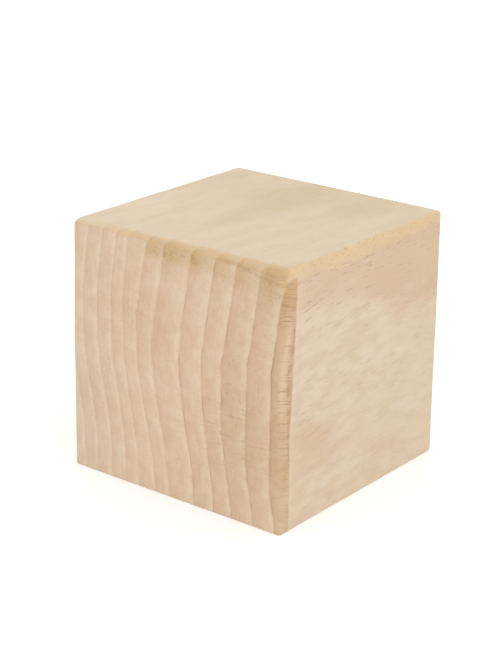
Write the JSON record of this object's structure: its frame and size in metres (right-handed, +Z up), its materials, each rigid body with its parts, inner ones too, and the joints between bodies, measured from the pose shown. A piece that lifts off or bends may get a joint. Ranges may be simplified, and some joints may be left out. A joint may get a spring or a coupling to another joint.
{
  "type": "wooden cube",
  "caption": "Solid wooden cube with softly rounded edges and corners, for stacking, building or resting things on.",
  "frame": {"origin": "centre of the face that the block rests on", "axes": "+Z up; the grain runs along Y, so the two faces square to Y are end grain, the faces square to X are flat sawn and the faces square to Z are quarter sawn"},
  "size_m": [0.05, 0.05, 0.05],
  "materials": {
    "beech": "bare beech, sanded and unfinished"
  },
  "bodies": {
    "root": {"wood_block": "beech"}
  },
  "joints": []
}
